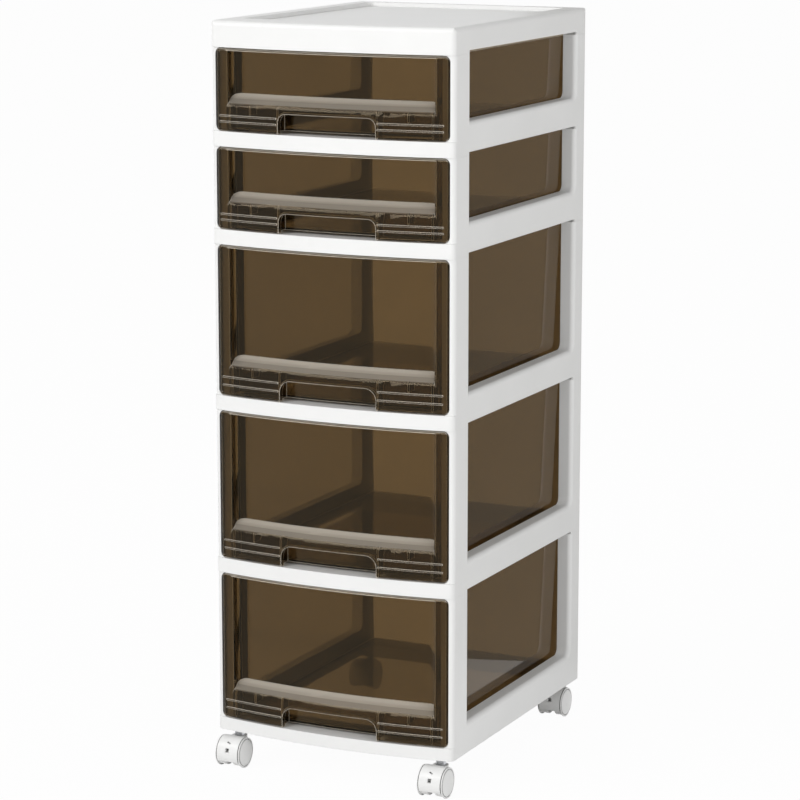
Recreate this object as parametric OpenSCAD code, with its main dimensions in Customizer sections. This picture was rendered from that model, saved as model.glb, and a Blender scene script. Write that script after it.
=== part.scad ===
// Drawer tower: deep and shallow pull-out drawers in stacked white tier frames, with a
// tray-topped cover above and twin-wheel swivel casters below. The drawer fronts bow
// outward and each has a recessed panel, a shoulder and an arched finger pull.
// Origin: on the floor, at the middle of the overall plan. +Z is up, +X is to the right
// of someone facing the drawers, and the drawer fronts face -Y.

/* [Overall] */
// Width over the side rails
body_w = 280; // [200:1:400]
// Depth from the crown of the bowed front to the back
body_d = 364; // [260:1:500]
// Radius of the bowed front in plan
bow_r = 760; // [500:10:2000]
// Floor to the underside of the lowest tier frame
base_z = 40.1; // [35:0.1:80]
// Wall thickness of the frame and cover mouldings
wall = 2.4; // [1.5:0.1:4]
// Radius of the front vertical corners
front_corner_r = 6; // [3:0.5:12]
// Radius of the rear vertical corners
rear_corner_r = 9; // [4:0.5:16]

/* [Tier frames] */
// Height of a front bar
bar_h = 16; // [8:0.5:30]
// Height of the lowest front bar
base_bar_h = 13.6; // [8:0.1:30]
// Depth of the front bar and posts, from the crown of the bow
front_post_d = 47.8; // [30:0.1:80]
// Depth of the rear bar and posts
rear_post_d = 31.6; // [20:0.1:60]
// Width of the side rails and posts
post_w = 16; // [12:0.5:30]
// Rise of the side rail above the front bar
rail_rise = 18; // [8:0.5:40]
// Rise of the lowest side rail above its front bar
base_rail_rise = 19.7; // [8:0.1:40]
// Step back of the front posts from the bar face
post_setback = 1.5; // [0.5:0.1:4]
// Rounding of the outer edges of a side opening
flare_r = 5; // [2:0.5:8]
// Corner radius of a side opening where the rail meets the rear post
opening_r = 8; // [4:0.5:14]
// Relief under each side rail above an opening
relief_h = 3.2; // [1:0.1:6]
// Height of the plug that locates the next tier
plug_h = 8; // [4:0.5:12]
// Clearance round each plug
plug_clear = 0.35; // [0.2:0.05:0.8]
// Reach of a drawer runner inside the rail
runner_w = 12; // [6:0.5:20]
// Thickness of a drawer runner
runner_t = 2.2; // [1.5:0.1:4]
// Height of a runner's top above the front bar
runner_rise = 2.7; // [1:0.1:6]

/* [Cover] */
// Height of the cover
cover_h = 27.8; // [15:0.1:50]
// Rounding of the cover's top edge
cover_edge_r = 5; // [2:0.5:10]
// Depth of the tray in the cover
tray_d = 4.5; // [2:0.1:10]
// Rim beside the tray
tray_side = 21; // [8:0.5:40]
// Rim in front of the tray, from the crown of the bow
tray_front = 45; // [20:0.5:70]
// Rim behind the tray
tray_rear = 16; // [8:0.5:40]

/* [Drawers] */
// Height of a deep drawer front
deep_h = 160; // [100:1:220]
// Height of a shallow drawer front
shallow_h = 85.5; // [60:0.5:120]
// Width of a front post's face beside a drawer
jamb_w = 5.6; // [3:0.1:8]
// Gap under a drawer front
gap_below = 0.7; // [0.5:0.1:3]
// Gap over a drawer front
gap_above = 1; // [0.5:0.1:3]
// Gap beside a drawer front
gap_side = 1; // [0.5:0.1:3]
// Depth of the turned-back edge of a drawer front
lip_d = 7; // [4:0.5:12]
// Rounding of the vertical edges of a drawer front
lip_r = 5; // [2:0.5:8]
// Rounding of the top and bottom edges of a drawer front
lip_edge_r = 3.5; // [1:0.1:5]
// Corner radius of a drawer front seen from the front
face_corner_r = 6; // [1:0.5:8]
// Wall thickness of a drawer
skin = 2.2; // [1.5:0.1:4]
// Depth of the recessed panel behind the front face
recess_d = 16; // [8:0.5:30]
// Width of a drawer's face beside the recessed panel
stile_w = 15.4; // [8:0.1:30]
// Rounding between the recessed panel and its side walls
recess_r = 9; // [2:0.5:12]
// Rounding of the recess's front edges
recess_edge_r = 3.5; // [1:0.1:5]
// Thickness of the rail over the recess
top_rail_t = 2.2; // [1:0.1:4]
// Height at which the shoulder of a deep drawer leaves the face
deep_band_h = 26.5; // [20:0.5:40]
// Height at which the shoulder of a shallow drawer leaves the face
shallow_band_h = 22.8; // [18:0.1:40]
// Rounding of the shoulder's front edge
shoulder_r = 9; // [3:0.5:14]
// Depth at which the shoulder's slope ends
shoulder_run = 7; // [4:0.5:12]
// Rounding at the top of the shoulder
shoulder_top_r = 18; // [8:0.5:30]
// Half width of the finger arch
arch_half_w = 56; // [30:1:90]
// Height of the finger arch in a deep drawer
deep_arch_h = 22.5; // [12:0.5:28]
// Corner radius of the finger arch in a deep drawer
deep_arch_r = 12.5; // [5:0.5:20]
// Height of the finger arch in a shallow drawer
shallow_arch_h = 20.8; // [12:0.1:28]
// Corner radius of the finger arch in a shallow drawer
shallow_arch_r = 9; // [5:0.5:20]
// Height of the lower rib on a deep drawer
deep_rib_z = 11.1; // [4:0.1:16]
// Height of the upper rib on a deep drawer
deep_rib_top_z = 19.9; // [12:0.1:24]
// Height of the lower rib on a shallow drawer
shallow_rib_z = 9.5; // [4:0.1:16]
// Height of the upper rib on a shallow drawer
shallow_rib_top_z = 15.8; // [12:0.1:24]
// Radius of the ribs on the band
rib_r = 0.8; // [0.4:0.1:1.5]
// Distance from the recess's side to the side plates under the shoulder
side_plate_in = 2.4; // [2:0.1:10]
// Distance from the middle to the small plates under the shoulder
gusset_x = 90; // [65:1:110]
// Thickness of the rim round the finger arch
rim_t = 1.8; // [1:0.1:4]
// Thickness of the plates under the shoulder
plate_t = 1.5; // [1:0.1:3]
// Gap between a tub's top edge and the side rails
tub_gap = 0.8; // [0.5:0.1:3]
// Draft of the tub's sides, in degrees
tub_draft = 1.3; // [0:0.1:4]
// Gap between the tub's back and the back of the tower
tub_back_gap = 10; // [3:0.5:40]
// Running gap between a tub and its runners
slide_clear = 0.3; // [0.1:0.05:1]

/* [Casters] */
// Wheel diameter
wheel_d = 33; // [25:0.5:60]
// Distance from the side of the tower to a caster's stem
stem_side_in = 19.5; // [14:0.5:40]
// Distance from the crown of the bow to the front stems
front_stem_in = 25.8; // [20:0.1:60]
// Distance from the back of the tower to the rear stems
rear_stem_in = 14; // [12:0.5:60]
// Distance from a stem to its wheel axle
trail = 13.6; // [8:0.1:25]
// Radius of the stem in its socket
stem_r = 4; // [3:0.1:6]
// Radius of the stem's collar
collar_r = 5.5; // [4:0.1:8]
// Radius of the stem's pivot inside the hood
pivot_r = 2.5; // [2:0.1:4]
// Radius of the wheel axle
axle_r = 2; // [1.5:0.1:3]
// Running clearance on pivots and axles
run_clear = 0.05; // [0.02:0.01:0.1]
// Half width of the hood
hood_half_w = 12.5; // [9:0.1:20]
// Thickness of the hood's rim over the wheels
hood_t = 1.4; // [1:0.1:3]
// Half width of the hood's middle web
web_half_w = 4.4; // [3.5:0.1:8]
// Radius of the hood's boss round the stem
boss_r = 8; // [5:0.5:12]

/* [Hidden] */
$fn = 96;
half_w = body_w / 2;
bore_r = pivot_r + run_clear;
hub_bore_r = axle_r + run_clear;
axle_z = wheel_d / 2;
hood_r = axle_z + 0.4;
overhang = trail + hood_r - front_stem_in;
front_y = overhang / 2 - body_d / 2;
rear_y = front_y + body_d;
bow_cy = front_y + bow_r;
inner_x = half_w - post_w;
post_back_y = front_y + front_post_d;
jamb_y = rear_y - rear_post_d;
rebate_x = half_w - jamb_w;
front_half_w = rebate_x - gap_side;
recess_half_w = front_half_w - stile_w;
side_plate_x = recess_half_w - side_plate_in;
tub_half_w = inner_x - tub_gap;
tray_half_w = half_w - tray_side;
stem_x = half_w - stem_side_in;
rebate_d = lip_d + 0.8;
rebate_r = face_corner_r + gap_side;
slope = sqrt(0.5);
crest_d = shoulder_run + shoulder_top_r * slope;
crest_z = shoulder_run + shoulder_r * (1 / slope - 1) - shoulder_top_r * slope;
deep_pitch = bar_h + gap_below + deep_h + gap_above;
shallow_pitch = bar_h + gap_below + shallow_h + gap_above;
tier5_z = base_z;
tier4_z = tier5_z + base_bar_h + gap_below + deep_h + gap_above;
tier3_z = tier4_z + deep_pitch;
tier2_z = tier3_z + deep_pitch;
tier1_z = tier2_z + shallow_pitch;
cover_z = tier1_z + shallow_pitch;
top_z = cover_z + cover_h;
front_stem_y = front_y + front_stem_in;
rear_stem_y = rear_y - rear_stem_in;
tub_back_y = rear_y - tub_back_gap;
tub_lift = runner_rise + slide_clear - gap_below;
hood_top_z = base_z - 8.9;
hood_low_z = axle_z - 7.9;
tread_r = hood_r - hood_t - 0.5;
hub_r = 4.6;

// Outline of the tower in plan: bowed front, rounded corners, inset by g
module frame_plan(g) {
    cx = half_w - front_corner_r;
    cy = bow_cy - sqrt(pow(bow_r - front_corner_r, 2) - cx * cx);
    tx = cx * (bow_r - g) / (bow_r - front_corner_r);
    side_y = rear_y - rear_corner_r;
    intersection() {
        translate([0, bow_cy]) circle(r = bow_r - g);
        translate([-tx, front_y - 10]) square([2 * tx, side_y - front_y]);
    }
    translate([-half_w + g, cy]) square([body_w - 2 * g, side_y - cy]);
    translate([-half_w + rear_corner_r, side_y - 20])
        square([body_w - 2 * rear_corner_r, 20 + rear_corner_r - g]);
    for (s = [-1, 1]) {
        translate([s * cx, cy]) circle(r = front_corner_r - g);
        translate([s * (half_w - rear_corner_r), side_y]) circle(r = rear_corner_r - g);
    }
}

// Front post in plan on the +X side, shrunk by g on every side
module front_post_plan(g) {
    difference() {
        intersection() {
            translate([0, post_setback]) frame_plan(g);
            translate([inner_x + g, front_y - 10])
                square([post_w, front_post_d + 10 - g]);
        }
        difference() {
            translate([0, front_y - 10]) square([rebate_x + g, front_post_d]);
            translate([0, bow_cy]) circle(r = bow_r - rebate_d - g);
        }
    }
}

// Rear post in plan on the +X side, shrunk by g on every side
module rear_post_plan(g) {
    intersection() {
        frame_plan(g);
        translate([inner_x + g, jamb_y + g]) square([post_w, rear_post_d]);
    }
}

// Ring of bars and rails in plan, shrunk by g on every side
module ring_plan(g) {
    difference() {
        frame_plan(g);
        translate([-inner_x - g, post_back_y - g])
            square([2 * (inner_x + g), jamb_y - post_back_y + 2 * g]);
    }
}

// Space cut from the +X side between the rail and the tier above, with its outer
// edges rounded below and behind
module side_opening(ledge_z, seam_z) {
    x0 = half_w - flare_r;
    cy = jamb_y - opening_r;
    cz = ledge_z + opening_r;
    translate([inner_x - 1, 0, 0])
        rotate([90, 0, 90])
            linear_extrude(height = post_w + 2)
                difference() {
                    translate([post_back_y, ledge_z])
                        square([jamb_y - post_back_y, seam_z - ledge_z + 1]);
                    difference() {
                        translate([cy, ledge_z - 1]) square([opening_r + 1, opening_r + 1]);
                        translate([cy, cz]) circle(r = opening_r);
                    }
                }
    translate([0, cy, 0])
        rotate([90, 0, 0])
            linear_extrude(height = cy - post_back_y)
                difference() {
                    translate([x0, ledge_z - flare_r]) square([flare_r + 1, flare_r + 1]);
                    translate([x0, ledge_z - flare_r]) circle(r = flare_r);
                }
    translate([0, 0, cz])
        linear_extrude(height = seam_z - cz + 1)
            difference() {
                translate([x0, jamb_y - 1]) square([flare_r + 1, flare_r + 1]);
                translate([x0, jamb_y + flare_r]) circle(r = flare_r);
            }
    translate([0, cy, cz])
        rotate([90, 0, 90])
            rotate([0, 0, -90])
                rotate_extrude(angle = 90)
                    difference() {
                        translate([opening_r - 1, x0]) square([flare_r + 1, flare_r + 1]);
                        translate([opening_r + flare_r, x0]) circle(r = flare_r);
                    }
}

// One tier: a ring of bars with side rails, four hollow posts, drawer runners and
// the plugs that locate the tier above
module tier_frame(z0, bar, rise, front_h, relief) {
    bar_z = z0 + bar;
    ledge_z = bar_z + rise;
    seam_z = bar_z + gap_below + front_h + gap_above;
    difference() {
        union() {
            translate([0, 0, z0]) linear_extrude(height = bar) ring_plan(0);
            for (m = [0, 1]) mirror([m, 0, 0]) {
                translate([0, 0, bar_z])
                    linear_extrude(height = seam_z - bar_z) front_post_plan(0);
                translate([0, 0, bar_z])
                    linear_extrude(height = seam_z - bar_z)
                        intersection() {
                            frame_plan(0);
                            translate([inner_x, post_back_y])
                                square([post_w, rear_y - post_back_y]);
                        }
            }
        }
        translate([0, 0, z0 - 1]) linear_extrude(height = bar - wall + 1) ring_plan(wall);
        for (m = [0, 1]) mirror([m, 0, 0]) {
            side_opening(ledge_z, seam_z);
            translate([inner_x + wall, post_back_y - wall - 1, z0 - 1])
                cube([post_w - 2 * wall, jamb_y - post_back_y + 2 * wall + 2,
                      ledge_z - wall - z0 + 1]);
            translate([0, 0, z0 - 1])
                linear_extrude(height = seam_z - wall - z0 + 1) front_post_plan(wall);
            translate([0, 0, z0 - 1])
                linear_extrude(height = seam_z - wall - z0 + 1) rear_post_plan(wall);
            translate([inner_x - 1, post_back_y, z0 - 1])
                cube([post_w + 2, jamb_y - post_back_y, relief + 1]);
        }
    }
    for (m = [0, 1]) mirror([m, 0, 0]) {
        rebate_corners(bar_z, seam_z);
        translate([0, 0, seam_z - 0.5])
            linear_extrude(height = plug_h + 0.5) front_post_plan(wall + plug_clear);
        translate([0, 0, seam_z - 0.5])
            linear_extrude(height = plug_h + 0.5) rear_post_plan(wall + plug_clear);
        translate([inner_x - runner_w, front_y + 27, bar_z + runner_rise - runner_t])
            cube([runner_w + 1, jamb_y - front_y - 27, runner_t]);
    }
}

// Rounded corners of the rebate that a drawer front sits in, on the +X side
module rebate_corners(bar_z, seam_z) {
    x = rebate_x - rebate_r;
    intersection() {
        translate([0, front_y + 30, 0])
            rotate([90, 0, 0])
                linear_extrude(height = 40)
                    for (z = [bar_z, seam_z - rebate_r])
                        difference() {
                            translate([x, z]) square([rebate_r + 1, rebate_r]);
                            translate([x, z == bar_z ? z + rebate_r : z]) circle(r = rebate_r);
                        }
        translate([0, bow_cy, bar_z - 1])
            difference() {
                cylinder(r = bow_r - post_setback, h = seam_z - bar_z + 2);
                translate([0, 0, -1])
                    cylinder(r = bow_r - rebate_d - 1, h = seam_z - bar_z + 4);
            }
    }
}

// Sockets for the caster stems, inside the lowest front and rear bars
module stem_sockets() {
    for (m = [0, 1]) mirror([m, 0, 0])
        for (y = [front_stem_y, rear_stem_y])
            translate([stem_x, y, base_z])
                cylinder(r = stem_r + 4, h = base_bar_h - wall + 0.5);
}

// Bores of the caster sockets
module stem_bores() {
    for (m = [0, 1]) mirror([m, 0, 0])
        for (y = [front_stem_y, rear_stem_y])
            translate([stem_x, y, base_z - 1]) cylinder(r = stem_r, h = base_bar_h - 0.6);
}

module tier_frame_5() {
    color("white")
        difference() {
            union() {
                tier_frame(tier5_z, base_bar_h, base_rail_rise, deep_h, 0);
                stem_sockets();
            }
            stem_bores();
        }
}

module tier_frame_4() {
    color("white") tier_frame(tier4_z, bar_h, rail_rise, deep_h, relief_h);
}

module tier_frame_3() {
    color("white") tier_frame(tier3_z, bar_h, rail_rise, deep_h, relief_h);
}

module tier_frame_2() {
    color("white") tier_frame(tier2_z, bar_h, rail_rise, shallow_h, relief_h);
}

module tier_frame_1() {
    color("white") tier_frame(tier1_z, bar_h, rail_rise, shallow_h, relief_h);
}

// Cover with a shallow tray on top and sockets for the topmost plugs underneath
module top_cover() {
    e = cover_edge_r;
    color("white")
        difference() {
            intersection() {
                translate([0, 0, cover_z]) linear_extrude(height = cover_h) frame_plan(0);
                translate([0, rear_y + 10, 0])
                    rotate([90, 0, 0])
                        linear_extrude(height = body_d + 30)
                            rounded_top(-half_w, half_w, cover_z - 1, top_z, e);
                translate([-half_w - 10, 0, 0])
                    rotate([90, 0, 90])
                        linear_extrude(height = body_w + 20)
                            rounded_top(front_y - 40, rear_y, cover_z - 1, top_z, e);
                translate([0, bow_cy, 0])
                    rotate_extrude() rounded_top(0, bow_r, cover_z - 1, top_z, e);
            }
            translate([0, 0, top_z - tray_d])
                linear_extrude(height = tray_d + 1)
                    rounded_box(-tray_half_w, tray_half_w, front_y + tray_front,
                                rear_y - tray_rear, 6);
            translate([-inner_x, post_back_y, cover_z - 1])
                cube([2 * inner_x, jamb_y - post_back_y, cover_h - tray_d - wall + 1]);
            translate([0, 0, cover_z - 1])
                linear_extrude(height = cover_h - tray_d - wall + 1) ring_plan(wall);
            for (m = [0, 1]) mirror([m, 0, 0])
                translate([inner_x - 1, post_back_y, cover_z - 1])
                    cube([post_w + 2, jamb_y - post_back_y, relief_h + 1]);
        }
}

// Rectangle whose two upper corners are rounded, or only the outer one from x = 0
module rounded_top(x0, x1, z0, z1, r) {
    translate([x0, z0]) square([x1 - x0, z1 - r - z0]);
    translate([x0 == 0 ? 0 : x0 + r, z0]) square([x1 - r - (x0 == 0 ? 0 : x0 + r), z1 - z0]);
    translate([x1 - r, z1 - r]) circle(r = r);
    if (x0 != 0) translate([x0 + r, z1 - r]) circle(r = r);
}

// Rectangle with four rounded corners
module rounded_box(x0, x1, y0, y1, r) {
    translate([x0 + r, y0]) square([x1 - x0 - 2 * r, y1 - y0]);
    translate([x0, y0 + r]) square([x1 - x0, y1 - y0 - 2 * r]);
    for (x = [x0 + r, x1 - r])
        for (y = [y0 + r, y1 - r])
            translate([x, y]) circle(r = r);
}

// Drawer face in plan, its vertical edges rounded, as deep as the turned-back lip
module face_plan() {
    cx = front_half_w - lip_r;
    cy = bow_cy - sqrt(pow(bow_r - lip_r, 2) - cx * cx);
    tx = cx * bow_r / (bow_r - lip_r);
    difference() {
        union() {
            intersection() {
                translate([0, bow_cy]) circle(r = bow_r);
                translate([-tx, front_y - 10]) square([2 * tx, 60]);
            }
            translate([-front_half_w, cy]) square([2 * front_half_w, 20]);
            for (s = [-1, 1]) translate([s * cx, cy]) circle(r = lip_r);
        }
        translate([0, bow_cy]) circle(r = bow_r - lip_d);
    }
}

// Finger arch seen from the front, grown by g
module arch_shape(deep, g) {
    top = deep ? deep_arch_h : shallow_arch_h;
    corner = deep ? deep_arch_r : shallow_arch_r;
    w = arch_half_w + g;
    r = corner + g;
    translate([-w, -5]) square([2 * w, top - corner + 5]);
    translate([-w + r, -5]) square([2 * (w - r), top + g + 5]);
    for (s = [-1, 1]) translate([s * (w - r), top - corner]) circle(r = r);
}

// Band and shoulder in section, out from the bow's centre, shrunk by g
module shoulder_section(band_h, g) {
    r = shoulder_r - g;
    top_r = shoulder_top_r - g;
    polygon([[bow_r - crest_d, -1], [bow_r - g, -1], [bow_r - g, band_h],
             [bow_r - shoulder_r + r * slope, band_h + r * slope],
             [bow_r - crest_d + top_r * slope, band_h + crest_z + top_r * slope],
             [bow_r - crest_d, band_h + crest_z + top_r]]);
    translate([bow_r - shoulder_r, band_h]) circle(r = r);
    translate([bow_r - crest_d, band_h + crest_z]) circle(r = top_r);
}

// Space under the shoulder between the band's inside and the recessed panel
module under_shoulder(band_h) {
    intersection() {
        shoulder_section(band_h, 1);
        translate([bow_r - recess_d - 1, -1]) square([recess_d, band_h + 30]);
    }
}

// Recess in plan: rounded into the panel behind and out to the face in front
module recess_plan() {
    w = recess_half_w;
    panel_r = bow_r - recess_d;
    fx = w - recess_r;
    fy = bow_cy - sqrt(pow(panel_r + recess_r, 2) - fx * fx);
    tx = fx * panel_r / (panel_r + recess_r);
    ex = w + recess_edge_r;
    ey = bow_cy - sqrt(pow(bow_r - recess_edge_r, 2) - ex * ex);
    edge_x = ex * bow_r / (bow_r - recess_edge_r);
    translate([-tx, front_y - 10]) square([2 * tx, 60]);
    translate([-w, front_y - 10]) square([2 * w, fy - front_y + 10]);
    for (m = [0, 1]) mirror([m, 0]) {
        translate([fx, fy]) circle(r = recess_r);
        difference() {
            translate([w - 1, front_y - 10]) square([edge_x - w + 1, ey - front_y + 10]);
            translate([ex, ey]) circle(r = recess_edge_r);
        }
    }
}

// Cross-section of the tub, shrunk by g at the sides and floor, running up to z1
module tub_section(h, g, z1) {
    k = tan(tub_draft);
    low = tub_lift + g;
    b = tub_half_w - g - (h - low) * k;
    t = tub_half_w - g - (h - z1) * k;
    polygon([[-b, low], [b, low], [t, z1], [-t, z1]]);
}

// One drawer: bowed face with a recessed panel, a shoulder and a finger arch, and
// the open tub behind it
module drawer(z0, deep) {
    h = deep ? deep_h : shallow_h;
    band_h = deep ? deep_band_h : shallow_band_h;
    wall_r = bow_r - recess_d;
    translate([0, 0, z0]) {
        difference() {
            union() {
                intersection() {
                    linear_extrude(height = h) face_plan();
                    translate([0, bow_cy, 0])
                        rotate_extrude() {
                            translate([0, lip_edge_r]) square([bow_r, h - 2 * lip_edge_r]);
                            square([bow_r - lip_edge_r, h]);
                            for (z = [lip_edge_r, h - lip_edge_r])
                                translate([bow_r - lip_edge_r, z]) circle(r = lip_edge_r);
                        }
                    translate([0, front_y + 60, 0])
                        rotate([90, 0, 0])
                            linear_extrude(height = 80)
                                rounded_box(-front_half_w, front_half_w, 0, h,
                                            face_corner_r);
                }
                intersection() {
                    translate([-recess_half_w - skin, front_y - 10, 0])
                        cube([2 * (recess_half_w + skin), 60, h]);
                    translate([0, bow_cy, tub_lift])
                        rotate_extrude()
                            translate([wall_r - skin, 0])
                                square([recess_d - lip_edge_r, h - tub_lift]);
                }
            }
            window_cut(h, band_h);
            for (m = [0, 1]) mirror([m, 0, 0]) stile_hollow(h);
            shoulder_hollow(band_h);
            translate([0, front_y + 12, 0])
                rotate([90, 0, 0]) linear_extrude(height = 20) arch_shape(deep, 0);
            tub_cavity(h);
        }
        difference() {
            intersection() {
                translate([0, tub_back_y, 0])
                    rotate([90, 0, 0])
                        linear_extrude(height = tub_back_y - front_y)
                            tub_section(h, 0, h);
                translate([0, bow_cy, 0]) cylinder(r = wall_r, h = h);
            }
            tub_cavity(h);
        }
        arch_rim(deep);
        band_ribs(deep);
        shoulder_plates(band_h);
    }
}

// Inside of the tub, open at the top
module tub_cavity(h) {
    intersection() {
        translate([0, tub_back_y - skin, 0])
            rotate([90, 0, 0])
                linear_extrude(height = tub_back_y - skin - front_y)
                    tub_section(h, skin, h + 1);
        translate([0, bow_cy, 0]) cylinder(r = bow_r - recess_d - skin, h = h + 2);
    }
}

// Space in front of the recessed panel, above the shoulder and under the top rail
module window_cut(h, band_h) {
    intersection() {
        translate([0, 0, band_h - 1]) linear_extrude(height = h) recess_plan();
        translate([0, bow_cy, 0])
            rotate_extrude()
                difference() {
                    translate([bow_r - recess_d, band_h])
                        square([recess_d + 1, h + 1 - band_h]);
                    shoulder_section(band_h, 0);
                    translate([bow_r - lip_d, h - top_rail_t])
                        square([lip_d + 2, top_rail_t + 2]);
                }
    }
}

// Hollow behind the stile of the face on the +X side
module stile_hollow(h) {
    intersection() {
        translate([recess_half_w + skin, front_y - 10, -1])
            cube([front_half_w - recess_half_w - 2 * skin, 60, h - skin + 1]);
        translate([0, bow_cy, -1]) cylinder(r = bow_r - 2.5, h = h);
    }
}

// Hollow under the shoulder, open below, between the band and the recessed panel
module shoulder_hollow(band_h) {
    intersection() {
        translate([-recess_half_w - skin - 1, front_y - 10, -1])
            cube([2 * (recess_half_w + skin + 1), 60, 60]);
        translate([0, bow_cy, 0])
            rotate_extrude()
                intersection() {
                    shoulder_section(band_h, 2.5);
                    translate([bow_r - recess_d, -1]) square([recess_d, band_h + 30]);
                }
    }
}

// Rim round the finger arch, inside the band
module arch_rim(deep) {
    difference() {
        intersection() {
            translate([0, front_y + 20, 0])
                rotate([90, 0, 0]) linear_extrude(height = 21) arch_shape(deep, rim_t);
            translate([0, bow_cy, 0])
                difference() {
                    cylinder(r = bow_r - 1, h = deep_band_h);
                    translate([0, 0, -1]) cylinder(r = bow_r - 6.5, h = deep_band_h + 2);
                }
            translate([-front_half_w, front_y - 5, 0])
                cube([2 * front_half_w, 30, deep_band_h]);
        }
        translate([0, front_y + 21, 0])
            rotate([90, 0, 0]) linear_extrude(height = 30) arch_shape(deep, 0);
    }
}

// Thin ribs along the band on both sides of the arch
module band_ribs(deep) {
    for (m = [0, 1]) mirror([m, 0, 0])
        intersection() {
            translate([arch_half_w + rim_t, front_y - 5, 0])
                cube([front_half_w - lip_r - arch_half_w - rim_t, 30, deep_band_h]);
            translate([0, bow_cy, 0])
                rotate_extrude()
                    for (z = deep ? [deep_rib_z, deep_rib_top_z]
                                  : [shallow_rib_z, shallow_rib_top_z])
                        translate([bow_r - 0.2, z]) circle(r = rib_r);
        }
}

// Upright plates under the shoulder: beside the arch, small ones and one at each side
module shoulder_plates(band_h) {
    for (m = [0, 1]) mirror([m, 0, 0])
        intersection() {
            union() {
                for (x = [arch_half_w + 0.1, side_plate_x])
                    translate([x, front_y - 5, tub_lift]) cube([plate_t, 50, band_h + 20]);
                translate([gusset_x, front_y - 5, band_h - 5]) cube([plate_t, 50, 25]);
            }
            translate([0, bow_cy, 0]) rotate_extrude() under_shoulder(band_h);
        }
}

module drawer_5() {
    color([0.45, 0.38, 0.28, 0.5]) drawer(tier5_z + base_bar_h + gap_below, true);
}

module drawer_4() {
    color([0.45, 0.38, 0.28, 0.5]) drawer(tier4_z + bar_h + gap_below, true);
}

module drawer_3() {
    color([0.45, 0.38, 0.28, 0.5]) drawer(tier3_z + bar_h + gap_below, true);
}

module drawer_2() {
    color([0.45, 0.38, 0.28, 0.5]) drawer(tier2_z + bar_h + gap_below, false);
}

module drawer_1() {
    color([0.45, 0.38, 0.28, 0.5]) drawer(tier1_z + bar_h + gap_below, false);
}

// Metal stem: socket spigot, collar and the pivot that the hood turns on
module caster_stem() {
    color("silver") {
        translate([0, 0, base_z - 1]) cylinder(r = stem_r, h = base_bar_h - 1.8);
        translate([0, 0, hood_top_z + 0.2])
            cylinder(r = collar_r, h = base_z - hood_top_z - 0.2);
        translate([0, 0, 14.5]) cylinder(r = pivot_r, h = base_z - 16.5);
    }
}

// Hood over the twin wheels, with a web between them
module caster_hood() {
    color("white")
        difference() {
            intersection() {
                union() {
                    translate([-hood_half_w, -trail, axle_z])
                        rotate([0, 90, 0]) cylinder(r = hood_r, h = 2 * hood_half_w);
                    translate([-boss_r, -trail, 0]) cube([2 * boss_r, trail, hood_top_z]);
                    cylinder(r = boss_r, h = hood_top_z);
                }
                translate([-2 * hood_r, -3 * hood_r, hood_low_z])
                    cube([4 * hood_r, 6 * hood_r, 2 * hood_r]);
            }
            for (s = [-1, 1])
                translate([s > 0 ? web_half_w : -web_half_w - 20, -trail, axle_z])
                    rotate([0, 90, 0]) cylinder(r = hood_r - hood_t, h = 20);
            translate([0, 0, 14]) cylinder(r = bore_r, h = 30);
            translate([-20, -trail, axle_z]) rotate([0, 90, 0]) cylinder(r = axle_r, h = 40);
            translate([-2.15, -trail - hood_r - 1, axle_z + 2.8]) cube([4.3, 6, 4.3]);
            translate([0, -trail, axle_z])
                rotate([-47, 0, 0])
                    translate([0, -hood_r, 0])
                        rotate([0, 25, 0]) cube([4.4, 3, 1.5], center = true);
        }
}

// Axle across the hood's web
module caster_axle() {
    color("silver")
        translate([-10.5, -trail, axle_z]) rotate([0, 90, 0]) cylinder(r = axle_r, h = 21);
}

// Wheel on the +X side: hub, tread under the hood, and outside it a rim with a groove
// round a domed disc
module caster_wheel() {
    x0 = web_half_w + 0.4;
    rim_x = hood_half_w + 0.8;
    dome_r = 58;
    groove_w = 0.8;
    groove_r = tread_r - groove_w;
    color("white")
        translate([0, -trail, axle_z])
            rotate([0, 90, 0])
                rotate_extrude()
                    difference() {
                        union() {
                            translate([0, x0]) square([tread_r, rim_x - x0 + 0.5]);
                            translate([0, rim_x]) square([axle_z, 1]);
                            intersection() {
                                translate([0, rim_x]) square([axle_z - 1, 10]);
                                translate([0, rim_x + 3 - dome_r]) circle(r = dome_r);
                            }
                        }
                        translate([groove_r, rim_x + 0.4]) square([groove_w, 5]);
                        translate([-1, x0 - 1]) square([hub_bore_r + 1, 7.5]);
                        translate([hub_r, x0 - 1])
                            square([tread_r - 2 - hub_r, rim_x - x0 - 0.6]);
                        translate([-10, 0]) square([10, 30]);
                    }
}

// Where each caster stands
module at_front_left() {
    translate([-stem_x, front_stem_y, 0]) children();
}

module at_front_right() {
    translate([stem_x, front_stem_y, 0]) children();
}

module at_rear_left() {
    translate([-stem_x, rear_stem_y, 0]) children();
}

module at_rear_right() {
    translate([stem_x, rear_stem_y, 0]) children();
}

top_cover();
tier_frame_1();
tier_frame_2();
tier_frame_3();
tier_frame_4();
tier_frame_5();
drawer_1();
drawer_2();
drawer_3();
drawer_4();
drawer_5();
at_front_left() caster_stem();  // stem_front_left
at_front_left() caster_hood();  // hood_front_left
at_front_left() caster_axle();  // axle_front_left
at_front_left() mirror([1, 0, 0]) caster_wheel();  // wheel_front_left_a
at_front_left() caster_wheel();  // wheel_front_left_b
at_front_right() caster_stem();  // stem_front_right
at_front_right() caster_hood();  // hood_front_right
at_front_right() caster_axle();  // axle_front_right
at_front_right() mirror([1, 0, 0]) caster_wheel();  // wheel_front_right_a
at_front_right() caster_wheel();  // wheel_front_right_b
at_rear_left() caster_stem();  // stem_rear_left
at_rear_left() caster_hood();  // hood_rear_left
at_rear_left() caster_axle();  // axle_rear_left
at_rear_left() mirror([1, 0, 0]) caster_wheel();  // wheel_rear_left_a
at_rear_left() caster_wheel();  // wheel_rear_left_b
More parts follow.
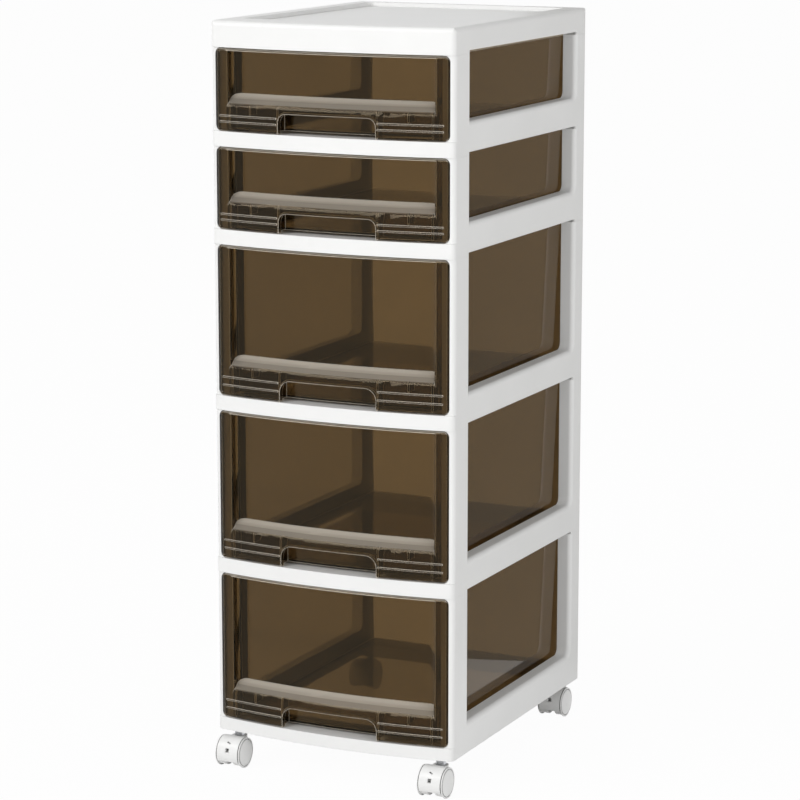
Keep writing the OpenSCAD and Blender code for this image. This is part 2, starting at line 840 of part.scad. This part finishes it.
at_rear_right() caster_stem();  // stem_rear_right
at_rear_right() caster_hood();  // hood_rear_right
at_rear_right() caster_axle();  // axle_rear_right
at_rear_right() mirror([1, 0, 0]) caster_wheel();  // wheel_rear_right_a
at_rear_right() caster_wheel();  // wheel_rear_right_b
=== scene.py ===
import math

import bmesh
import bpy
from mathutils import Matrix, Vector

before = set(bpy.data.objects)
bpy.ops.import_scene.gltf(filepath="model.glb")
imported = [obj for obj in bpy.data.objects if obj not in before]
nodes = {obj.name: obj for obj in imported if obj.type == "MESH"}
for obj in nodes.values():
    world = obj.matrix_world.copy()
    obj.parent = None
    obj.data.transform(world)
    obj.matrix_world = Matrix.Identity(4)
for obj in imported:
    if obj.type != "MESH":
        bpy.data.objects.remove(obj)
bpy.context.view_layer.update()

# ---------------------------------------------------------------------------
# The camera stands well back to the right of the tower's front, a little above
# its middle, and looks slightly down, which is how the photograph was taken.

CAMERA_PLACE = Vector((1.3935, -2.91385, 1.0186))
CAMERA_TURN = math.radians(25.577)
CAMERA_TILT = math.radians(11.096)
CAMERA_LENS = 135.39

camera_data = bpy.data.cameras.new("camera")
camera_data.lens = CAMERA_LENS
camera_data.sensor_width = 36.0
camera_data.clip_end = 200.0
camera = bpy.data.objects.new("camera", camera_data)
bpy.context.scene.collection.objects.link(camera)
camera.location = CAMERA_PLACE
camera.rotation_euler = (math.pi / 2 - CAMERA_TILT, 0.0, CAMERA_TURN)
bpy.context.scene.camera = camera
bpy.context.scene.view_settings.view_transform = "Standard"

# ---------------------------------------------------------------------------
# The floor is one wide pale sheet. It is white where the camera, a reflection or
# the see-through drawers meet it, and keeps a faint shadow of the tower.

floor_mesh = bpy.data.meshes.new("floor")
bm = bmesh.new()
bmesh.ops.create_grid(bm, x_segments=1, y_segments=1, size=60.0)
bm.to_mesh(floor_mesh)
bm.free()
floor = bpy.data.objects.new("floor", floor_mesh)
bpy.context.scene.collection.objects.link(floor)

FLOOR_COLOUR = (0.86, 0.86, 0.86, 1)
FLOOR_WHITE_SHARE = 0.97


def seen_directly(tree):
    """1 where the camera, a reflection or a see-through piece looks, else 0."""
    path = tree.nodes.new("ShaderNodeLightPath")
    looks = tree.nodes.new("ShaderNodeMath")
    looks.operation = "MAXIMUM"
    looks_through = tree.nodes.new("ShaderNodeMath")
    looks_through.operation = "MAXIMUM"
    tree.links.new(path.outputs["Is Camera Ray"], looks.inputs[0])
    tree.links.new(path.outputs["Is Glossy Ray"], looks.inputs[1])
    tree.links.new(looks.outputs[0], looks_through.inputs[0])
    tree.links.new(path.outputs["Is Transmission Ray"], looks_through.inputs[1])
    return looks_through.outputs[0]


floor_paint = bpy.data.materials.new("floor_paint")
floor_paint.use_nodes = True
tree = floor_paint.node_tree
tree.nodes.clear()
out = tree.nodes.new("ShaderNodeOutputMaterial")
seen = tree.nodes.new("ShaderNodeMixShader")
matt = tree.nodes.new("ShaderNodeBsdfDiffuse")
matt.inputs["Color"].default_value = FLOOR_COLOUR
glow = tree.nodes.new("ShaderNodeEmission")
glow.inputs["Color"].default_value = (1, 1, 1, 1)
glow.inputs["Strength"].default_value = 1.0
share = tree.nodes.new("ShaderNodeMath")
share.operation = "MULTIPLY"
share.inputs[1].default_value = FLOOR_WHITE_SHARE
tree.links.new(seen_directly(tree), share.inputs[0])
tree.links.new(share.outputs[0], seen.inputs[0])
tree.links.new(matt.outputs[0], seen.inputs[1])
tree.links.new(glow.outputs[0], seen.inputs[2])
tree.links.new(seen.outputs[0], out.inputs["Surface"])
floor_mesh.materials.append(floor_paint)

# ---------------------------------------------------------------------------
# The light is soft: a pale room all round, which stays white to the camera and in
# reflections, a faint box overhead, a large box in front that leaves the tower's
# side darker, a weaker one at the side, and one that only glossy faces show.

ROOM_LIGHT = 0.42
ROOM_SEEN = 1.0

world = bpy.data.worlds.new("room")
bpy.context.scene.world = world
world.use_nodes = True
tree = world.node_tree
tree.nodes.clear()
out = tree.nodes.new("ShaderNodeOutputWorld")
room = tree.nodes.new("ShaderNodeBackground")
room.inputs["Color"].default_value = (1, 1, 1, 1)
level = tree.nodes.new("ShaderNodeMapRange")
level.inputs["To Min"].default_value = ROOM_LIGHT
level.inputs["To Max"].default_value = ROOM_SEEN
tree.links.new(seen_directly(tree), level.inputs["Value"])
tree.links.new(level.outputs[0], room.inputs["Strength"])
tree.links.new(room.outputs[0], out.inputs["Surface"])


def soft_box(name, place, aim, width, height, power):
    lamp = bpy.data.lights.new(name, "AREA")
    lamp.shape = "RECTANGLE"
    lamp.size = width
    lamp.size_y = height
    lamp.energy = power
    holder = bpy.data.objects.new(name, lamp)
    bpy.context.scene.collection.objects.link(holder)
    holder.location = place
    direction = Vector(aim) - Vector(place)
    holder.rotation_euler = direction.to_track_quat("-Z", "Y").to_euler()
    holder.visible_camera = False
    return holder


soft_box("overhead_box", (-0.3, -0.4, 3.2), (0, 0, 0.4), 2.4, 2.4, 4)
front_box = soft_box("front_box", (-2.2, -4.4, 2.7), (0, 0, 0.3), 3.0, 2.4, 142)
front_box.visible_glossy = False
front_box.visible_transmission = False
side_box = soft_box("side_box", (3.0, -1.6, 1.2), (0, 0, 0.4), 1.6, 2.0, 36)
side_box.visible_glossy = False
side_box.visible_transmission = False
sheen_box = soft_box("sheen_box", (-1.0, -1.9, 2.2), (0, -0.15, 0.4), 2.0, 1.2, 40)
sheen_box.visible_diffuse = False
sheen_box.visible_transmission = False

# ---------------------------------------------------------------------------
# A grey card stands behind the tower's right side. Only reflections show it, and it
# keeps the drawers' polished side walls from turning milky.

CARD_PLACE = (0.42, 0.2, 0.56)
CARD_SIZE = 1.0
CARD_HEIGHT = 1.1
CARD_GREY = (0.26, 0.25, 0.23, 1)

card_mesh = bpy.data.meshes.new("grey_card")
bm = bmesh.new()
bmesh.ops.create_grid(bm, x_segments=1, y_segments=1, size=CARD_SIZE / 2)
bmesh.ops.scale(bm, vec=(1.0, CARD_HEIGHT / CARD_SIZE, 1.0), verts=bm.verts)
bmesh.ops.rotate(bm, matrix=Matrix.Rotation(math.radians(90), 3, "X"), verts=bm.verts)
bmesh.ops.rotate(bm, matrix=Matrix.Rotation(-CAMERA_TURN, 3, "Z"), verts=bm.verts)
bmesh.ops.translate(bm, vec=CARD_PLACE, verts=bm.verts)
bm.to_mesh(card_mesh)
bm.free()
card = bpy.data.objects.new("grey_card", card_mesh)
bpy.context.scene.collection.objects.link(card)
card.visible_camera = False
card.visible_diffuse = False
card.visible_transmission = False
card.visible_shadow = False
card_paint = bpy.data.materials.new("card_paint")
card_paint.use_nodes = True
tree = card_paint.node_tree
tree.nodes.clear()
out = tree.nodes.new("ShaderNodeOutputMaterial")
glow = tree.nodes.new("ShaderNodeEmission")
glow.inputs["Color"].default_value = CARD_GREY
tree.links.new(glow.outputs[0], out.inputs["Surface"])
card_mesh.materials.append(card_paint)

# ---------------------------------------------------------------------------
# White moulded plastic: the tier frames and the cover. It is polypropylene,
# softly shiny, with a very fine grain from the mould and slightly blunt edges.
# Painted shade darkens its colour in the narrow gaps.

WHITE = (0.87, 0.87, 0.86)
WHITE_BLUNT = 0.0006
PAINTED_SHADE_REACH = 0.004


def white_plastic(name, grain_mm, roughness, crevice_painted_shade):
    material = bpy.data.materials.new(name)
    material.use_nodes = True
    tree = material.node_tree
    shader = tree.nodes["Principled BSDF"]
    place = tree.nodes.new("ShaderNodeTexCoord")
    cloud = tree.nodes.new("ShaderNodeTexNoise")
    cloud.inputs["Scale"].default_value = 14.0
    cloud.inputs["Detail"].default_value = 3.0
    tint = tree.nodes.new("ShaderNodeValToRGB")
    tint.color_ramp.elements[0].position = 0.3
    tint.color_ramp.elements[0].color = (*(c * 0.975 for c in WHITE), 1)
    tint.color_ramp.elements[1].position = 0.7
    tint.color_ramp.elements[1].color = (*WHITE, 1)
    sheen = tree.nodes.new("ShaderNodeMapRange")
    sheen.inputs["To Min"].default_value = roughness - 0.04
    sheen.inputs["To Max"].default_value = roughness + 0.06
    grain = tree.nodes.new("ShaderNodeTexNoise")
    grain.inputs["Scale"].default_value = 1000.0 / grain_mm
    grain.inputs["Detail"].default_value = 2.0
    blunt = tree.nodes.new("ShaderNodeBevel")
    blunt.samples = 4
    blunt.inputs["Radius"].default_value = WHITE_BLUNT
    bump = tree.nodes.new("ShaderNodeBump")
    bump.inputs["Strength"].default_value = 0.12
    bump.inputs["Distance"].default_value = 0.00005
    tree.links.new(place.outputs["Object"], cloud.inputs["Vector"])
    tree.links.new(place.outputs["Object"], grain.inputs["Vector"])
    tree.links.new(cloud.outputs["Fac"], tint.inputs["Fac"])
    tree.links.new(cloud.outputs["Fac"], sheen.inputs["Value"])
    tree.links.new(grain.outputs["Fac"], bump.inputs["Height"])
    tree.links.new(blunt.outputs["Normal"], bump.inputs["Normal"])
    # Painted shade: ambient occlusion darkens the colour in narrow gaps and crevices,
    # where little light reaches.
    crevice_occlusion = tree.nodes.new("ShaderNodeAmbientOcclusion")
    crevice_occlusion.samples = 8
    crevice_occlusion.inputs["Distance"].default_value = PAINTED_SHADE_REACH
    painted_shade_level = tree.nodes.new("ShaderNodeMapRange")
    painted_shade_level.inputs["From Min"].default_value = 0.15
    painted_shade_level.inputs["From Max"].default_value = 0.6
    painted_shade_level.inputs["To Min"].default_value = crevice_painted_shade
    shade = tree.nodes.new("ShaderNodeMix")
    shade.data_type = "RGBA"
    shade.blend_type = "MULTIPLY"
    shade.inputs[0].default_value = 1.0
    tree.links.new(crevice_occlusion.outputs["AO"], painted_shade_level.inputs["Value"])
    tree.links.new(tint.outputs["Color"], shade.inputs[6])
    tree.links.new(painted_shade_level.outputs[0], shade.inputs[7])
    tree.links.new(shade.outputs[2], shader.inputs["Base Color"])
    tree.links.new(sheen.outputs[0], shader.inputs["Roughness"])
    tree.links.new(bump.outputs["Normal"], shader.inputs["Normal"])
    shader.inputs["IOR"].default_value = 1.49
    shader.inputs["Specular IOR Level"].default_value = 0.25
    return material


def dress(name, material):
    nodes[name].data.materials.clear()
    nodes[name].data.materials.append(material)


# The last number is how dark the painted shade gets in the frames' gaps.
frame_white = white_plastic("frame_white", 0.5, 0.38, 0.6)
for name in ["top_cover"] + [f"tier_frame_{n}" for n in range(1, 6)]:
    dress(name, frame_white)

# ---------------------------------------------------------------------------
# Drawers: each is one polystyrene moulding, polished and see-through, in smoky
# brown. The colour deepens with every wall that one looks through. A pale painted
# highlight lies on their edges and on the shoulder under each panel, standing in
# for the light they catch.

SMOKE = (0.335, 0.255, 0.155)
PAINTED_HIGHLIGHT = (0.85, 0.78, 0.67, 1)
PAINTED_HIGHLIGHT_EDGE_WIDTH = 0.001
PAINTED_HIGHLIGHT_ON_EDGES = 0.9
PAINTED_SHEEN_ON_SHOULDER = 0.58
BOW_AXIS = (0, 0.58035, 0)
PANEL_FRONT_RADIUS = 0.7443

smoke = bpy.data.materials.new("smoky_brown")
smoke.use_nodes = True
tree = smoke.node_tree
shader = tree.nodes["Principled BSDF"]
place = tree.nodes.new("ShaderNodeTexCoord")
cloud = tree.nodes.new("ShaderNodeTexNoise")
cloud.inputs["Scale"].default_value = 9.0
tint = tree.nodes.new("ShaderNodeValToRGB")
tint.color_ramp.elements[0].position = 0.3
tint.color_ramp.elements[0].color = (*(c * 0.94 for c in SMOKE), 1)
tint.color_ramp.elements[1].position = 0.7
tint.color_ramp.elements[1].color = (*SMOKE, 1)
wave = tree.nodes.new("ShaderNodeTexNoise")
wave.inputs["Scale"].default_value = 18.0
bump = tree.nodes.new("ShaderNodeBump")
bump.inputs["Strength"].default_value = 0.012
bump.inputs["Distance"].default_value = 0.002
tree.links.new(place.outputs["Object"], cloud.inputs["Vector"])
tree.links.new(place.outputs["Object"], wave.inputs["Vector"])
tree.links.new(cloud.outputs["Fac"], tint.inputs["Fac"])
tree.links.new(wave.outputs["Fac"], bump.inputs["Height"])
tree.links.new(bump.outputs["Normal"], shader.inputs["Normal"])
slant = tree.nodes.new("ShaderNodeLayerWeight")
slant.inputs["Blend"].default_value = 0.5
deeper = tree.nodes.new("ShaderNodeMix")
deeper.data_type = "RGBA"
deeper.inputs[7].default_value = (*(c * 0.4 for c in SMOKE), 1)
tree.links.new(slant.outputs["Facing"], deeper.inputs[0])
tree.links.new(tint.outputs["Color"], deeper.inputs[6])
tree.links.new(deeper.outputs[2], shader.inputs["Base Color"])
shader.inputs["Roughness"].default_value = 0.03
shader.inputs["IOR"].default_value = 1.33
shader.inputs["Specular IOR Level"].default_value = 0.25
shader.inputs["Specular Tint"].default_value = (1.0, 0.84, 0.6, 1)
shader.inputs["Transmission Weight"].default_value = 1.0

# The painted highlight on edges: where the rounded-off normal leaves the face's own.
highlight_paint = tree.nodes.new("ShaderNodeBsdfDiffuse")
highlight_paint.inputs["Color"].default_value = PAINTED_HIGHLIGHT
wide = tree.nodes.new("ShaderNodeBevel")
wide.samples = 6
wide.inputs["Radius"].default_value = PAINTED_HIGHLIGHT_EDGE_WIDTH
shape = tree.nodes.new("ShaderNodeNewGeometry")
turned = tree.nodes.new("ShaderNodeVectorMath")
turned.operation = "DOT_PRODUCT"
edge = tree.nodes.new("ShaderNodeMapRange")
edge.interpolation_type = "SMOOTHSTEP"
edge.inputs["From Min"].default_value = 0.995
edge.inputs["From Max"].default_value = 0.86
edge.inputs["To Max"].default_value = PAINTED_HIGHLIGHT_ON_EDGES
tree.links.new(wide.outputs["Normal"], turned.inputs[0])
tree.links.new(shape.outputs["Normal"], turned.inputs[1])
tree.links.new(turned.outputs["Value"], edge.inputs["Value"])

# The painted sheen on the shoulder: faces that look up, in front of the recessed
# panel, are made paler, standing in for the overhead light they reflect.
facing = tree.nodes.new("ShaderNodeSeparateXYZ")
upward = tree.nodes.new("ShaderNodeMapRange")
upward.interpolation_type = "SMOOTHSTEP"
upward.inputs["From Min"].default_value = 0.5
upward.inputs["From Max"].default_value = 1.0
upward.inputs["To Max"].default_value = PAINTED_SHEEN_ON_SHOULDER
spot = tree.nodes.new("ShaderNodeSeparateXYZ")
flat = tree.nodes.new("ShaderNodeCombineXYZ")
bow = tree.nodes.new("ShaderNodeVectorMath")
bow.operation = "DISTANCE"
bow.inputs[1].default_value = BOW_AXIS
front = tree.nodes.new("ShaderNodeMath")
front.operation = "GREATER_THAN"
front.inputs[1].default_value = PANEL_FRONT_RADIUS
sheen = tree.nodes.new("ShaderNodeMath")
sheen.operation = "MULTIPLY"
painted_highlight_mask = tree.nodes.new("ShaderNodeMath")
painted_highlight_mask.operation = "MAXIMUM"
tree.links.new(shape.outputs["Normal"], facing.inputs[0])
tree.links.new(facing.outputs["Z"], upward.inputs["Value"])
tree.links.new(place.outputs["Object"], spot.inputs[0])
tree.links.new(spot.outputs["X"], flat.inputs["X"])
tree.links.new(spot.outputs["Y"], flat.inputs["Y"])
tree.links.new(flat.outputs[0], bow.inputs[0])
tree.links.new(bow.outputs["Value"], front.inputs[0])
tree.links.new(upward.outputs[0], sheen.inputs[0])
tree.links.new(front.outputs[0], sheen.inputs[1])
tree.links.new(sheen.outputs[0], painted_highlight_mask.inputs[0])
tree.links.new(edge.outputs[0], painted_highlight_mask.inputs[1])

# The pale painted highlight is laid over the see-through plastic wherever the mask is
# high.
mixed = tree.nodes.new("ShaderNodeMixShader")
out = tree.nodes["Material Output"]
tree.links.new(painted_highlight_mask.outputs[0], mixed.inputs[0])
tree.links.new(shader.outputs[0], mixed.inputs[1])
tree.links.new(highlight_paint.outputs[0], mixed.inputs[2])
tree.links.new(mixed.outputs[0], out.inputs["Surface"])

for n in range(1, 6):
    dress(f"drawer_{n}", smoke)

# ---------------------------------------------------------------------------
# Caster hoods and wheels: the same white plastic with a closer, shinier grain, and a
# much deeper painted shade in their gaps and holes.

caster_white = white_plastic("caster_white", 0.4, 0.3, 0.08)
corners = ["front_left", "front_right", "rear_left", "rear_right"]
for corner in corners:
    for name in [f"hood_{corner}", f"wheel_{corner}_a", f"wheel_{corner}_b"]:
        dress(name, caster_white)

# ---------------------------------------------------------------------------
# Caster stems and axles: plated steel, drawn bright, with fine turning marks.

plated = bpy.data.materials.new("plated_steel")
plated.use_nodes = True
tree = plated.node_tree
shader = tree.nodes["Principled BSDF"]
place = tree.nodes.new("ShaderNodeTexCoord")
stretch = tree.nodes.new("ShaderNodeMapping")
stretch.inputs["Scale"].default_value = (60.0, 60.0, 2400.0)
marks = tree.nodes.new("ShaderNodeTexNoise")
marks.inputs["Scale"].default_value = 1.0
tint = tree.nodes.new("ShaderNodeValToRGB")
tint.color_ramp.elements[0].color = (0.55, 0.56, 0.58, 1)
tint.color_ramp.elements[1].color = (0.66, 0.67, 0.69, 1)
sheen = tree.nodes.new("ShaderNodeMapRange")
sheen.inputs["To Min"].default_value = 0.18
sheen.inputs["To Max"].default_value = 0.32
tree.links.new(place.outputs["Object"], stretch.inputs["Vector"])
tree.links.new(stretch.outputs["Vector"], marks.inputs["Vector"])
tree.links.new(marks.outputs["Fac"], tint.inputs["Fac"])
tree.links.new(marks.outputs["Fac"], sheen.inputs["Value"])
tree.links.new(tint.outputs["Color"], shader.inputs["Base Color"])
tree.links.new(sheen.outputs[0], shader.inputs["Roughness"])
shader.inputs["Metallic"].default_value = 1.0
for corner in corners:
    for name in [f"stem_{corner}", f"axle_{corner}"]:
        dress(name, plated)
